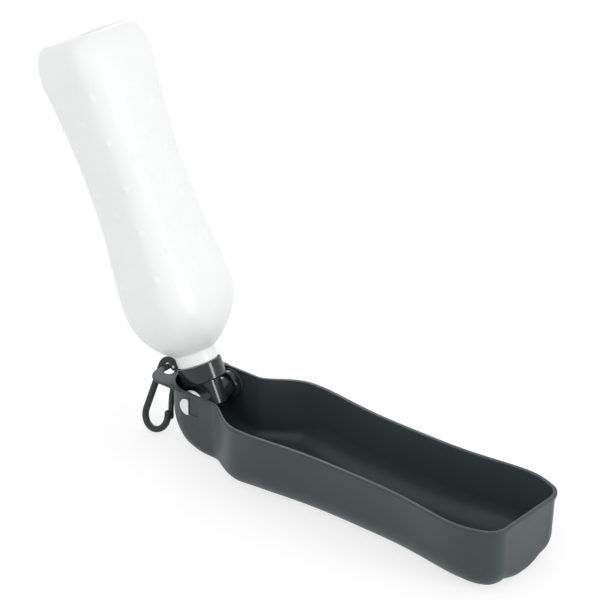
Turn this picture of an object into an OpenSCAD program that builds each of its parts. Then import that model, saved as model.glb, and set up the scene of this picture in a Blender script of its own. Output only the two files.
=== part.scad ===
// Dog travel water bottle: a squeeze bottle that folds into its own drinking trough.
// The head of the trough carries a keyed white pin. A barrel turns on that pin, and its short
// stem holds the bottle's screw cap. Leaning back, the pin's cross port lets water through.
// Millimetres, +Z up, +X from the pivot to the trough's wide end, z = 0 under the trough.
// The origin is on the underside, straight below the pivot.

/* [Which piece] */
// piece to show

/* [Trough] */
// height of the rim above the underside
rim_h = 42; // [34:0.5:52]
// wall of the trough
wall = 1.5; // [1.2:0.1:2.2]
// thickness of the floor
floor_t = 1.6; // [1.2:0.1:2.4]
// half width of the narrow head at the rim
head_hw = 22.4; // [20:0.1:26]
// nose length ahead of its round centre
nose_len = 21.4; // [20:0.1:24]
// nose centre behind the pivot
nose_back = 1.5; // [0:0.5:4]
// where the head starts to widen, from the pivot
step_x = 20.5; // [18:0.5:26]
// widest place of the front basin, from the pivot
shoulder_x = 59.5; // [52:0.5:68]
// half width there
shoulder_hw = 38.4; // [36:0.1:42]
// narrowest place of the basin, from the pivot
waist_x = 143.5; // [125:0.5:155]
// half width at the waist
waist_hw = 33.1; // [30:0.1:36]
// widest place of the far end, from the pivot
tail_x = 217.5; // [205:0.5:224]
// half width there
tail_hw = 38.6; // [36:0.1:42]
// outside of the end wall, from the pivot
end_x = 245.7; // [238:0.1:256]
// radius of the plan corners at the end wall
end_corner_r = 13.2; // [9:0.1:16]
// half of the straight run of the end wall
end_flat_hw = 21.7; // [18:0.1:24]
// overhang of the lip round the basin
lip_out = 1; // [0.6:0.1:2]
// overhang of the lip round the head
lip_head = 0.4; // [0.2:0.1:0.8]
// height of the lip
lip_h = 2.2; // [1.4:0.1:3.5]
// draft of the basin walls, per millimetre of depth
wall_draft = 0.04; // [0:0.01:0.08]
// fillet between the head's walls and floor
head_fillet = 7.3; // [4:0.1:9]
// sweep of the basin's walls towards the floor, along the floor
side_sweep_in = 14; // [8:0.5:16]
// sweep of the basin's walls towards the floor, up the wall
side_sweep_up = 17; // [8:0.5:20]
// fillet at the middle of the end wall
end_fillet = 5.6; // [4:0.1:9]
// sweep of the two end corners towards the floor, along the floor
corner_sweep_in = 18; // [12:0.5:22]
// sweep of the two end corners towards the floor, up the corner
corner_sweep_up = 21; // [12:0.5:26]
// sweep of the nose towards the floor, along the floor
nose_sweep_in = 17; // [12:0.5:18]
// sweep of the nose towards the floor, up the nose
nose_sweep_up = 27; // [16:0.5:32]

/* [Clip flange] */
// thickness of the flange
flange_t = 1.5; // [1.2:0.1:2.5]
// half width of the flange
flange_hw = 23; // [22.5:0.1:27]
// radius of the flange corners
flange_corner_r = 12; // [8:0.5:14]
// width of the bar that the hook hangs on
bar_w = 4.4; // [3.8:0.1:4.6]
// width of the hook slot
slot_w = 6.8; // [6.4:0.1:8]
// half length of the hook slot
slot_hl = 12; // [9:0.5:15]

/* [Pivot and valve] */
// pivot axis below the rim
pivot_drop = 10.6; // [9:0.1:13]
// radius of the white pin
spool_r = 5.5; // [5:0.1:6]
// distance from the pin's axis to its flat
spool_flat = 1.7; // [1:0.1:3]
// running clearance round the pin
run_gap = 0.05; // [0.03:0.01:0.1]
// clearance of the pin's keyed ends in the walls
key_gap = 0.08; // [0.04:0.01:0.15]
// side play of the barrel and collars
side_gap = 0.2; // [0.1:0.05:0.4]
// radius of the pin's own collar
collar_r = 8.4; // [7.2:0.1:8.6]
// radius of the loose collar at the far side
far_collar_r = 9.2; // [8.4:0.1:9.3]
// width of each collar
collar_w = 4.2; // [2:0.1:4.4]
// radius of the pads inside the head that the collars face
pad_r = 9.8; // [8.6:0.1:10]
// height of those pads
pad_t = 1.6; // [1.4:0.1:1.8]
// wall of the barrel round the pin
barrel_wall = 1.65; // [1.3:0.05:2.2]
// radius of the water channel
channel_r = 2.4; // [1.8:0.1:2.6]
// radius of the drum that joins the barrel to the cap
drum_r = 9.6; // [8:0.1:10]
// bottom of the drum below the pivot
drum_foot = 6.5; // [5:0.1:6.8]
// radius of the spout tube
tube_r = 4.35; // [4:0.05:4.8]
// section radius of the pin's seals
seal_r = 0.56; // [0.45:0.01:0.65]
// half distance between the pin's seals
seal_y = 8.5; // [6:0.5:11]

/* [Cap and neck] */
// root radius of the bottle's neck
neck_r = 12.2; // [11.5:0.1:13]
// wall of the neck
neck_wall = 1.6; // [1.2:0.1:2]
// depth of the thread
thread_h = 1.0; // [0.8:0.1:1.4]
// clearance of the cap over the thread
thread_gap = 0.2; // [0.1:0.05:0.4]
// wall of the cap
cap_wall = 1.0; // [0.9:0.1:1.6]
// cap's closed face from the pivot
cap_s = 10.2; // [9:0.1:12]
// thickness of the cap's closed face
cap_plate = 1.9; // [1.4:0.1:2.5]
// length of the cap
cap_len = 11.4; // [10.5:0.1:14]
// thickness of the spout tube's flange
spout_flange_t = 1.4; // [1:0.1:2]
// thickness of the gasket
gasket_t = 1.2; // [0.8:0.1:2]
// bottle travel when the cap is unscrewed by one turn
thread_pitch = 3; // [2.5:0.1:3.5]

/* [Bottle] */
// wall of the bottle
bottle_wall = 1.2; // [0.8:0.1:1.8]
// side clearance between bottle and trough at the waist
waist_gap = 2; // [1.4:0.1:3]
// extra side clearance at the two bulges
bulge_gap = 0.9; // [0.6:0.1:2]
// clearance between base and end wall when folded
end_gap = 6.2; // [5.6:0.1:9]
// clearance over the floor when folded
stow_gap = 0.8; // [0.5:0.1:2]
// rise of the folded bottle, degrees
stow_rise = 2; // [0:0.5:4]
// bulge nearest the neck, further out than the trough's
shoulder_lag = 8.5; // [4:0.5:12]
// waist and far bulge, nearer than the trough's
waist_lead = 3.5; // [0:0.5:8]
// length of the shoulder dome
dome_len = 41.6; // [40:0.1:43]
// how much thinner the waist is, each side
waist_thin = 3.8; // [1:0.1:6]
// body offset from the neck, away from the open side
body_off = 3; // [0:0.5:5]
// base corner, along the bottle
base_corner_len = 20; // [10:0.5:22]
// base corner, across the bottle
base_corner_in = 8; // [5:0.5:11]
// squareness of the bottle's section
section_power = 3.2; // [2:0.1:4]

/* [Snap hook] */
// width of the hook's strand
strand_w = 4; // [3.6:0.1:4.2]
// thickness of the hook's strand
strand_t = 3.4; // [2.6:0.1:4]
// radius of the top bend, to the middle of the strand
hook_top_r = 5.6; // [5.5:0.1:6]
// top bend's centre below the bar's centre
hook_rest = 1.95; // [1.8:0.05:2.1]
// radius of the bottom bend, to the middle of the strand
hook_low_r = 9.3; // [8:0.1:11]
// bottom bend's centre below the top bend's
hook_drop = 31.1; // [30:0.1:34]
// bottom bend's centre away from the trough
hook_out = 0.5; // [0:0.1:3]
// height of the nose tip above the bottom bend's centre
hook_nose = 5.7; // [4:0.1:7]
// where the hook hangs along the bar, towards the near side
hook_side = 1; // [0:0.5:6]
// width of the gate's strand
gate_w = 3.2; // [2.6:0.1:3.4]
// thickness of the gate
gate_t = 2.8; // [2.2:0.1:3.2]
// radius of the gate's pin
pin_r = 0.9; // [0.7:0.05:1.1]
// radius of the gate's eye
eye_r = 2.4; // [2.3:0.05:2.6]
// wire radius of the gate spring
wire_r = 0.26; // [0.2:0.02:0.3]

/* [Hidden] */
$fn = 64;
eps = 0.01;
soft = 0.35;
far = 60;

// pivot and what stands on it
pivot_z = rim_h - pivot_drop;
head_in = head_hw - lip_head - wall;
head_out = head_hw - lip_head;
collar_y = head_in - pad_t - side_gap;
barrel_y = collar_y - collar_w - side_gap;
barrel_bore = spool_r + run_gap;
barrel_r = barrel_bore + barrel_wall;

// the cap stops against the nose's inner rim, and that sets the lean at rest
cap_bore = neck_r + thread_h + thread_gap;
cap_r = cap_bore + cap_wall;
stop_gap = 0.15;
nose_in = nose_back + nose_len - lip_head - wall;
lean = acos((cap_r + stop_gap) / norm([nose_in, pivot_drop])) - atan(pivot_drop / nose_in);
face_gap = 0.1;
cap_end = cap_s + cap_len;
drum_end = cap_s - 0.3;
flange_s = cap_s + cap_plate + face_gap;
gasket_s = flange_s + spout_flange_t + run_gap;
mouth_s = gasket_s + gasket_t + face_gap;
tube_s = 6.4;
gasket_in = 8.6;

// the bottle follows the trough's plan
lip_wall = lip_out + wall;
bulge_w = shoulder_hw - lip_wall - waist_gap - bulge_gap;
waist_w = waist_hw - lip_wall - waist_gap;
tail_w = tail_hw - lip_wall - waist_gap - bulge_gap;
shoulder_s = shoulder_x + shoulder_lag;
waist_s = waist_x - waist_lead;
tail_s = tail_x - waist_lead;
base_s = end_x - lip_wall - end_gap;
bulge_t = pivot_z - floor_t + shoulder_s * sin(stow_rise) - body_off - stow_gap;
waist_t = bulge_t - waist_thin;
neck_top = cap_end + 0.4;
neck_out = neck_r + thread_h;
dome_s = shoulder_s - dome_len + 2.6;
sides = 44;

// hook
bar_x = -nose_back - nose_len - slot_w - bar_w / 2 - 0.3;
bar_z = rim_h - flange_t / 2;
lap_gap = 0.3;
body_y = -(strand_t + lap_gap) / 2;
gate_y = (gate_t + lap_gap) / 2;
eye_a = 25;
eye_p = [hook_top_r * cos(eye_a), hook_top_r * sin(eye_a)];
low_c = [-hook_out, -hook_drop];
nose_tip_x = hook_low_r - 1;
// angle where the straight leg leaves both bends
leg_a = 180 + atan(hook_out / hook_drop) - asin((hook_low_r - hook_top_r) / norm(low_c));
// the hook is longer than the bar is high, so it leans sideways onto the ground
ground_gap = 0.5;
hook_reach = [hook_rest + hook_drop + hook_low_r + strand_w / 2, -body_y];
hook_tilt = acos(min(1, (bar_z - ground_gap) / norm(hook_reach))) - atan(hook_reach[1] / hook_reach[0]);

function ease(t) = let (u = min(1, max(0, t))) u * u * (3 - 2 * u);
function mix(a, b, t) = a + (b - a) * t;
function unit(v) = v / norm(v);
// bends early and runs out slowly, p sets how early
function swing(t, p) = ease(1 - pow(1 - min(1, max(0, t)), p));

// closed skin over rings of equal length, with a flat cap on the first and last
module skin(rings) {
  m = len(rings[0]);
  n = len(rings);
  points = [for (r = rings) for (q = r) q];
  quads = [for (j = [0 : n - 2]) for (i = [0 : m - 1])
    let (k = (i + 1) % m, a = j * m + i, b = j * m + k, c = a + m, d = b + m)
    each [[a, b, d], [a, d, c]]];
  first = [for (i = [m - 1 : -1 : 0]) i];
  last = [for (i = [0 : m - 1]) (n - 1) * m + i];
  polyhedron(points = points, faces = concat([first], quads, [last]), convexity = 8);
}

// ---- trough ----

nose_c = -nose_back;
corner_x = end_x - end_corner_r;
corner_a = 18;
taper_x = corner_x + end_corner_r * sin(corner_a);
taper_hw = end_flat_hw + end_corner_r * cos(corner_a);

// half width of the rim from the nose's centre to the start of the end corner
function rim_hw(x) =
  x < step_x ? head_hw :
  x < shoulder_x ? mix(head_hw, shoulder_hw, swing((x - step_x) / (shoulder_x - step_x), 1.5)) :
  x < waist_x ? mix(shoulder_hw, waist_hw, swing((x - shoulder_x) / (waist_x - shoulder_x), 1.8)) :
  x < tail_x ? mix(tail_hw, waist_hw, swing((tail_x - x) / (tail_x - waist_x), 1.6)) :
  mix(tail_hw, taper_hw, pow((x - tail_x) / (taper_x - tail_x), 2));

side_xs = concat([nose_c, nose_c + 11],
  [for (i = [0 : 12]) mix(step_x, shoulder_x, i / 12)],
  [for (i = [1 : 9]) mix(shoulder_x, waist_x, i / 9)],
  [for (i = [1 : 8]) mix(waist_x, tail_x, i / 8)],
  [for (i = [1 : 4]) mix(tail_x, taper_x, i / 4)]);

rim_half = concat(
  [for (a = [180 : -9 : 99]) [nose_c + nose_len * cos(a), head_hw * sin(a)]],
  [for (x = side_xs) [x, rim_hw(x)]],
  [for (a = [60 : -12 : 0]) [corner_x + end_corner_r * cos(a), end_flat_hw + end_corner_r * sin(a)]],
  [[end_x, end_flat_hw / 2], [end_x, 0]]);
half_n = len(rim_half);
rim = concat(rim_half, [for (i = [half_n - 2 : -1 : 1]) [rim_half[i][0], -rim_half[i][1]]]);
rim_n = len(rim);

// inward direction at each rim point, turned towards the spine at the nose and the end
spine_end = corner_x - 10.5;
function rim_normal(i) =
  let (t = unit(rim[(i + 1) % rim_n] - rim[(i + rim_n - 1) % rim_n])) [t[1], -t[0]];
function rim_in(i) =
  let (q = rim[i], n = rim_normal(i))
  q[0] < nose_c ? unit([nose_c, 0] - q) :
  unit(mix(n, unit([spine_end, 0] - q), q[0] > tail_x ? ease((q[0] - tail_x) / (end_x - tail_x)) : 0));
rim_dir = [for (i = [0 : rim_n - 1])
  let (u = rim_in(i)) u / max(0.6, u * rim_normal(i))];

function basin_share(x) = ease((x - step_x) / 24);
function lip_at(x) = mix(lip_head, lip_out, basin_share(x));
function draft_at(x) = wall_draft * basin_share(x);

// how far each zone's sweep has taken over at a rim point q
function side_share(q) = ease((q[0] - step_x - 7) / 41);
function end_share(q) = ease((q[0] - tail_x) / (end_x - tail_x));
function corner_share(q) = ease((q[0] - tail_x + 4.5) / 48.6) * ease((abs(q[1]) - 2.7) / 31.4);
function nose_share(q) = ease((nose_c + 15.9 - q[0]) / (nose_len + 14));
function swept(q, side, corner, nose) =
  mix(mix(mix(mix(head_fillet, side, side_share(q)), end_fillet, end_share(q)),
    corner, corner_share(q)), nose, nose_share(q));
sweep_in = [for (q = rim) swept(q, side_sweep_in, corner_sweep_in, nose_sweep_in)];
sweep_up = [for (q = rim) swept(q, side_sweep_up, corner_sweep_up, nose_sweep_up)];

// ring at the inward shift and height that f gives for each rim point's number
function rim_ring(f) = [for (i = [0 : rim_n - 1])
  let (kz = f(i), q = rim[i] + rim_dir[i] * kz[0]) [q[0], q[1], kz[1]]];

// wall's inward shift at a depth, t behind the outer face
function wall_in(i, depth, t) = lip_at(rim[i][0]) + draft_at(rim[i][0]) * depth + t;
function fillet_pt(i, a, t, z0) =
  let (ri = max(sweep_in[i] - t, 2.5), ru = max(sweep_up[i] - t, 2.5))
  [wall_in(i, rim_h - z0 - ru, t) + ri * (1 - cos(a)), z0 + ru * (1 - sin(a))];

module trough_shell() {
  angles = [90, 76, 62, 48, 34, 18, 0];
  outer = concat(
    [for (a = angles) rim_ring(function(i) fillet_pt(i, a, 0, 0))],
    [rim_ring(function(i) [wall_in(i, lip_h, 0), rim_h - lip_h - soft]),
     rim_ring(function(i) [min(soft, lip_at(rim[i][0]) - 0.1), rim_h - lip_h]),
     rim_ring(function(i) [0, rim_h - lip_h + soft]),
     rim_ring(function(i) [0, rim_h - soft]),
     rim_ring(function(i) [soft, rim_h])]);
  inner = concat(
    [rim_ring(function(i) [wall_in(i, 0, wall) - soft, rim_h]),
     rim_ring(function(i) [wall_in(i, 0, wall), rim_h - soft])],
    [for (k = [len(angles) - 1 : -1 : 0])
      rim_ring(function(i) fillet_pt(i, angles[k], wall, floor_t))]);
  skin(concat(outer, inner));
}

// round pads inside the head's walls, which follow the nose's curve
module pivot_pads() {
  mid_wall = [for (q = rim_ring(function(i) [wall_in(i, 0, wall / 2), 0])) [q[0], q[1]]];
  intersection() {
    for (s = [-1, 1])
      across(min(s * head_out, s * (head_in - pad_t)), max(s * head_out, s * (head_in - pad_t)))
        circle(r = pad_r);
    linear_extrude(rim_h)
      polygon(mid_wall);
  }
}

module flange_plan() {
  tip = bar_x - bar_w / 2;
  difference() {
    hull() {
      for (s = [-1, 1])
        translate([tip + flange_corner_r, s * (flange_hw - flange_corner_r)])
          circle(r = flange_corner_r);
      translate([nose_c - 9, -flange_hw])
        square([6, 2 * flange_hw]);
    }
    translate([nose_c, 0])
      scale([nose_in - nose_back, head_in])
        circle(r = 1);
    translate([nose_c - eps, -far])
      square([far, 2 * far]);
    hook_slot_plan();
  }
}

module hook_slot_plan() {
  r = slot_w / 2;
  hull()
    for (s = [-1, 1])
      translate([bar_x + bar_w / 2 + r, s * (slot_hl - r)])
        circle(r = r);
}

// keyed section of the pin, grown by a clearance
module key_plan(gap) {
  difference() {
    circle(r = spool_r + gap);
    translate([spool_flat + gap, -far / 2])
      square([far / 2, far]);
  }
}

module across(y0, y1) {
  translate([0, y1, pivot_z])
    rotate([90, 0, 0])
      linear_extrude(y1 - y0)
        children();
}

module bowl() {
  window_w = 7.2;
  window_h = 11.6;
  window_in = 0.4;
  color([0.20, 0.23, 0.25])
    difference() {
      union() {
        trough_shell();
        pivot_pads();
        translate([0, 0, rim_h - flange_t])
          linear_extrude(flange_t)
            flange_plan();
      }
      across(-far, far)
        key_plan(key_gap);
      // shallow window beside each keyed hole, where the wall gives as the pin snaps in
      for (s = [-1, 1])
        translate([spool_flat + 0.6, s > 0 ? head_out - window_in : -head_out - 1, pivot_z - 3.8])
          cube([window_w, window_in + 1, window_h]);
    }
}

// ---- pieces that lean with the bottle, drawn along the bottle's own axis ----

module leaning() {
  translate([0, 0, pivot_z])
    rotate([0, -lean, 0])
      children();
}

module turned(y0, y1, r) {
  translate([0, y1, 0])
    rotate([90, 0, 0])
      cylinder(r = r, h = y1 - y0);
}

module valve_barrel() {
  edge = 0.6;
  color([0.16, 0.17, 0.19])
    leaning()
      difference() {
        union() {
          turned(-barrel_y, barrel_y, barrel_r);
          rotate_extrude($fn = 72)
            polygon([
              [0, -drum_foot],
              [drum_r - edge, -drum_foot],
              [drum_r, edge - drum_foot],
              [drum_r, drum_end],
              [0, drum_end]]);
        }
        turned(-far, far, barrel_bore);
        translate([0, 0, tube_s - run_gap])
          cylinder(r = tube_r + run_gap, h = far);
        translate([0, 0, -far / 2])
          cylinder(r = channel_r, h = far);
      }
}

module spout_tube() {
  color([0.16, 0.17, 0.19])
    leaning()
      difference() {
        union() {
          translate([0, 0, tube_s])
            cylinder(r = tube_r, h = flange_s + spout_flange_t - tube_s);
          translate([0, 0, flange_s])
            cylinder(r = cap_bore - side_gap, h = spout_flange_t);
        }
        translate([0, 0, -eps])
          cylinder(r = channel_r, h = far);
      }
}

module screw_cap() {
  edge = 0.7;
  color([0.16, 0.17, 0.19])
    leaning()
      rotate_extrude($fn = 96)
        polygon([
          [tube_r + run_gap, cap_s],
          [cap_r - edge, cap_s],
          [cap_r, cap_s + edge],
          [cap_r, cap_end - edge],
          [cap_r - edge, cap_end],
          [cap_bore, cap_end],
          [cap_bore, cap_s + cap_plate],
          [tube_r + run_gap, cap_s + cap_plate]]);
}

module cap_gasket() {
  color([0.75, 0.75, 0.73])
    leaning()
      translate([0, 0, gasket_s])
        difference() {
          cylinder(r = cap_bore - side_gap, h = gasket_t);
          translate([0, 0, -eps])
            cylinder(r = gasket_in, h = gasket_t + 2 * eps);
        }
}

groove_w = 3 * seal_r;
groove_r = spool_r - 2 * seal_r - 0.06;

module valve_spool() {
  color([0.93, 0.94, 0.94])
    difference() {
      union() {
        across(-head_out, head_out)
          key_plan(0);
        across(-collar_y, collar_y)
          circle(r = spool_r);
        across(-collar_y, -collar_y + collar_w)
          circle(r = collar_r);
      }
      leaning()
        translate([0, 0, -far / 2])
          cylinder(r = channel_r, h = far);
      for (s = [-1, 1])
        across(s * seal_y - groove_w / 2, s * seal_y + groove_w / 2)
          difference() {
            circle(r = spool_r + 1);
            circle(r = groove_r);
          }
    }
}

module far_collar() {
  color([0.16, 0.17, 0.19])
    across(collar_y - collar_w, collar_y)
      difference() {
        circle(r = far_collar_r);
        circle(r = spool_r + run_gap);
      }
}

module valve_o_rings() {
  color([0.08, 0.08, 0.08])
    for (s = [-1, 1])
      translate([0, s * seal_y, pivot_z])
        rotate([90, 0, 0])
          rotate_extrude()
            translate([groove_r + seal_r + 0.03, 0])
              circle(r = seal_r, $fn = 20);
}

// ---- bottle ----

function body_w(s) =
  s < shoulder_s ? bulge_w * sqrt(max(0, 1 - pow((shoulder_s - s) / dome_len, 2))) :
  s < waist_s ? mix(bulge_w, waist_w, swing((s - shoulder_s) / (waist_s - shoulder_s), 1.3)) :
  s < tail_s ? mix(waist_w, tail_w, pow((s - waist_s) / (tail_s - waist_s), 2)) : tail_w;
function body_t(s) =
  s < waist_s ? mix(bulge_t, waist_t, swing((s - shoulder_s) / (waist_s - shoulder_s), 1.3)) :
  mix(waist_t, bulge_t, pow(min(1, (s - waist_s) / (tail_s - waist_s)), 2));
corner_s = base_s - base_corner_len;
function base_in(s) =
  s < corner_s ? 0 :
  base_corner_in * (1 - sqrt(max(0, 1 - pow((s - corner_s) / base_corner_len, 2))));

function power(v, p) = sign(v) * pow(abs(v), p);
// one ring of the body, t inside the outer skin, drawn at height z
function body_ring(s, t, z) =
  let (u = ease((s - dome_s) / (shoulder_s - dome_s)),
       w = body_w(s),
       b = w - base_in(s) - t,
       c = mix(w, w * body_t(s) / (s < shoulder_s ? bulge_w : w), u) - base_in(s) - t,
       e = 2 / mix(2, section_power, u))
  [for (i = [0 : sides - 1]) let (a = 360 * i / sides)
    [body_off * u + c * power(cos(a), e), b * power(sin(a), e), z]];

body_ss = concat(
  [for (f = [0, 0.05, 0.12, 0.21, 0.32, 0.45, 0.6, 0.78]) mix(dome_s, shoulder_s, f)],
  [for (i = [0 : 5]) mix(shoulder_s, waist_s, i / 6)],
  [for (i = [0 : 6]) mix(waist_s, corner_s, i / 7)],
  [for (a = [0, 25, 45, 62, 76, 90]) corner_s + base_corner_len * sin(a)]);

module bottle() {
  foot_rim = 2.2;
  foot_up = 1.6;
  inner_end = base_s - foot_up - bottle_wall;
  inner_ss = [for (s = body_ss) if (s < inner_end - 1) s];
  dish = body_ring(base_s, foot_rim + foot_up, base_s - foot_up);
  color([0.93, 0.94, 0.94])
    leaning()
      union() {
        skin(concat(
          [dish, body_ring(base_s, foot_rim, base_s)],
          [for (i = [len(body_ss) - 1 : -1 : 0]) body_ring(body_ss[i], 0, body_ss[i])],
          [for (s = inner_ss) body_ring(s, bottle_wall, s)],
          [body_ring(inner_end, bottle_wall + 1, inner_end)]));
        difference() {
          union() {
            translate([0, 0, mouth_s])
              cylinder(r = neck_r, h = neck_top - mouth_s + eps);
            translate([0, 0, neck_top])
              cylinder(r = neck_out, h = dome_s + 0.9 - neck_top);
          }
          translate([0, 0, mouth_s - eps])
            cylinder(r = neck_r - neck_wall, h = far);
        }
      }
}

// ---- snap hook, drawn from its top bend's centre with its own down direction ----

module hanging() {
  translate([bar_x, -hook_side, bar_z])
    rotate([-hook_tilt, 0, 0])
      translate([0, 0, -hook_rest])
        children();
}

// strand of rounded section along a flat route of [x, z] points
module strand(route, w, t, y) {
  n = len(route);
  skin([for (j = [0 : n - 1])
    let (d = unit(route[min(n - 1, j + 1)] - route[max(0, j - 1)]), s = [-d[1], d[0]])
    [for (k = [0 : 11]) let (a = 30 * k, e = 0.6)
      [route[j][0] + s[0] * w / 2 * power(cos(a), e), y + t / 2 * power(sin(a), e),
       route[j][1] + s[1] * w / 2 * power(cos(a), e)]]]);
}

module pin_hole(gap) {
  translate([eye_p[0], far, eye_p[1]])
    rotate([90, 0, 0])
      cylinder(r = pin_r + gap, h = 2 * far, $fn = 32);
}

module eye(r, y, t) {
  translate([eye_p[0], y + t / 2, eye_p[1]])
    rotate([90, 0, 0])
      cylinder(r = r, h = t, $fn = 40);
}

module hook_body() {
  top = [for (a = [eye_a : 12 : leg_a]) hook_top_r * [cos(a), sin(a)]];
  low = [for (a = [leg_a : 13 : 359]) low_c + hook_low_r * [cos(a), sin(a)]];
  tip = [low_c + [hook_low_r, 0], low_c + [mix(hook_low_r, nose_tip_x, 0.4), hook_nose / 2],
         low_c + [nose_tip_x, hook_nose]];
  color([0.17, 0.19, 0.20])
    hanging()
      difference() {
        union() {
          strand(concat(top, low, tip), strand_w, strand_t, body_y);
          eye(eye_r, body_y, strand_t);
        }
        pin_hole(0);
      }
}

coil_r = pin_r + run_gap + wire_r;
coil_room = coil_r + wire_r + 0.08;
coil_depth = 1.5;

module hook_gate() {
  foot = low_c + [hook_low_r + 0.2, 0];
  bend = [hook_top_r - 1, -3];
  knee = [hook_top_r - 0.9, -0.4 * hook_drop];
  splay = [for (t = [0.2 : 0.2 : 1]) [mix(knee[0], foot[0], pow(t, 1.5)), mix(knee[1], foot[1], t)]];
  color([0.13, 0.14, 0.15])
    hanging()
      difference() {
        union() {
          strand(concat([eye_p + [0.2, 0], bend, mix(bend, knee, 0.5), knee], splay),
                 gate_w, gate_t, gate_y);
          eye(eye_r, gate_y, gate_t);
        }
        pin_hole(run_gap);
        eye(coil_room, lap_gap / 2 + coil_depth / 2 - eps, coil_depth + 2 * eps);
      }
}

module gate_pin() {
  color([0.7, 0.7, 0.72])
    hanging()
      eye(pin_r, (gate_t - strand_t) / 2, gate_t + strand_t + lap_gap);
}

module gate_spring() {
  turns = 2;
  color([0.75, 0.75, 0.78])
    hanging()
      for (k = [0 : turns - 1])
        translate([eye_p[0], lap_gap / 2 + wire_r + 0.1 + k * 2.1 * wire_r, eye_p[1]])
          rotate([90, 0, 0])
            rotate_extrude($fn = 32)
              translate([coil_r, 0])
                circle(r = wire_r, $fn = 16);
}

bowl();
bottle();
screw_cap();
spout_tube();
valve_barrel();
valve_spool();
far_collar();
valve_o_rings();
cap_gasket();
hook_body();
hook_gate();
gate_pin();
gate_spring();
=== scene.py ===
import math
import bmesh
import bpy
import numpy as np
from mathutils import Matrix


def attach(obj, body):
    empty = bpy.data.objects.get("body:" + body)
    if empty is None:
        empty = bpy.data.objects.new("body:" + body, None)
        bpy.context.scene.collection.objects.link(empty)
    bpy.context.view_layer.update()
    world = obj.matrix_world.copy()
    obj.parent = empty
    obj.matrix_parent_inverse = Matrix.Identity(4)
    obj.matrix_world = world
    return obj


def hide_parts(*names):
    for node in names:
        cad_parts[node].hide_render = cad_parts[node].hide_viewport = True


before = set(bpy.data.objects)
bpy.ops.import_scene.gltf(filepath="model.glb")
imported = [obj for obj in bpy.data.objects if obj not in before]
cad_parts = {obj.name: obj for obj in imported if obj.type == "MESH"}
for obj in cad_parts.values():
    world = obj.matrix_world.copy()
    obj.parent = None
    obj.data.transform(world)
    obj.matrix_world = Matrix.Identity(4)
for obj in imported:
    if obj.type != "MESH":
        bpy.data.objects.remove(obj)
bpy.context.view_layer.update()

# ---------------------------------------------------------------- trough
# The drinking trough is one injection moulding in slate grey polypropylene: a narrow head for the
# pivot, a waisted basin, a thin lip all round and a clip flange on the nose. Its walls are drawn as
# rings that follow the rim's plan, from the underside over the lip and down to the inner floor.

MM = 0.001


def ease(t):
    u = np.clip(t, 0.0, 1.0)
    return u * u * (3 - 2 * u)


def mix(a, b, t):
    return a + (b - a) * t


def swing(t, p):
    return ease(1 - (1 - np.clip(t, 0, 1)) ** p)


def new_object(name, points, faces, crease=32):
    mesh = bpy.data.meshes.new(name)
    mesh.from_pydata([tuple(q) for q in points], [], faces)
    mesh.validate()
    obj = bpy.data.objects.new(name, mesh)
    bpy.context.scene.collection.objects.link(obj)
    soften(obj, crease)
    return obj


def soften(obj, crease=32):
    """outward faces, smooth shading, and a sharp edge where the surface turns more than the crease"""
    shape = bmesh.new()
    shape.from_mesh(obj.data)
    bmesh.ops.remove_doubles(shape, verts=shape.verts, dist=1e-7)
    bmesh.ops.recalc_face_normals(shape, faces=shape.faces)
    shape.to_mesh(obj.data)
    shape.free()
    obj.data.shade_smooth()
    obj.data.set_sharp_from_angle(angle=math.radians(crease))


def skin_faces(ring_count, ring_size):
    """faces between rings of points, with a cap on the first ring and on the last"""
    faces = []
    for j in range(ring_count - 1):
        for i in range(ring_size):
            k = (i + 1) % ring_size
            a = j * ring_size
            faces.append((a + i, a + k, a + ring_size + k, a + ring_size + i))
    faces.append(tuple(range(ring_size - 1, -1, -1)))
    last = (ring_count - 1) * ring_size
    faces.append(tuple(range(last, last + ring_size)))
    return faces


def baked(obj, crease=32):
    """the object with its modifiers applied, as plain mesh"""
    depsgraph = bpy.context.evaluated_depsgraph_get()
    mesh = bpy.data.meshes.new_from_object(obj.evaluated_get(depsgraph), depsgraph=depsgraph)
    obj.modifiers.clear()
    obj.data = mesh
    soften(obj, crease)
    return obj


def cut_or_join(obj, others, operation):
    for other in others:
        step = obj.modifiers.new(operation.lower(), "BOOLEAN")
        step.operation = operation
        step.solver = "EXACT"
        step.object = other
    baked(obj)
    for other in others:
        bpy.data.objects.remove(other)
    return obj


rim_h, wall, floor_t = 42.0, 1.5, 1.6
head_hw, nose_len, nose_c, step_x = 22.4, 21.4, -1.5, 20.5
shoulder_x, shoulder_hw, waist_x, waist_hw = 59.5, 38.4, 143.5, 33.1
tail_x, tail_hw, end_x, end_corner_r, end_flat_hw = 217.5, 38.6, 245.7, 13.2, 21.7
lip_out, lip_head, lip_h, wall_draft, soft = 1.0, 0.4, 2.2, 0.04, 0.35
head_fillet, end_fillet, least_fillet = 7.3, 5.6, 2.5
spine_back, end_corner_turn = 10.5, 18
side_sweep, corner_sweep, nose_sweep = (14.0, 17.0), (18.0, 21.0), (17.0, 27.0)

corner_x = end_x - end_corner_r
taper_x = corner_x + end_corner_r * math.sin(math.radians(end_corner_turn))
taper_hw = end_flat_hw + end_corner_r * math.cos(math.radians(end_corner_turn))


def rim_half_width(x):
    if x < step_x:
        return head_hw
    if x < shoulder_x:
        return mix(head_hw, shoulder_hw, swing((x - step_x) / (shoulder_x - step_x), 1.5))
    if x < waist_x:
        return mix(shoulder_hw, waist_hw, swing((x - shoulder_x) / (waist_x - shoulder_x), 1.8))
    if x < tail_x:
        return mix(tail_hw, waist_hw, swing((tail_x - x) / (tail_x - waist_x), 1.6))
    return mix(tail_hw, taper_hw, ((x - tail_x) / (taper_x - tail_x)) ** 2)


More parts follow.
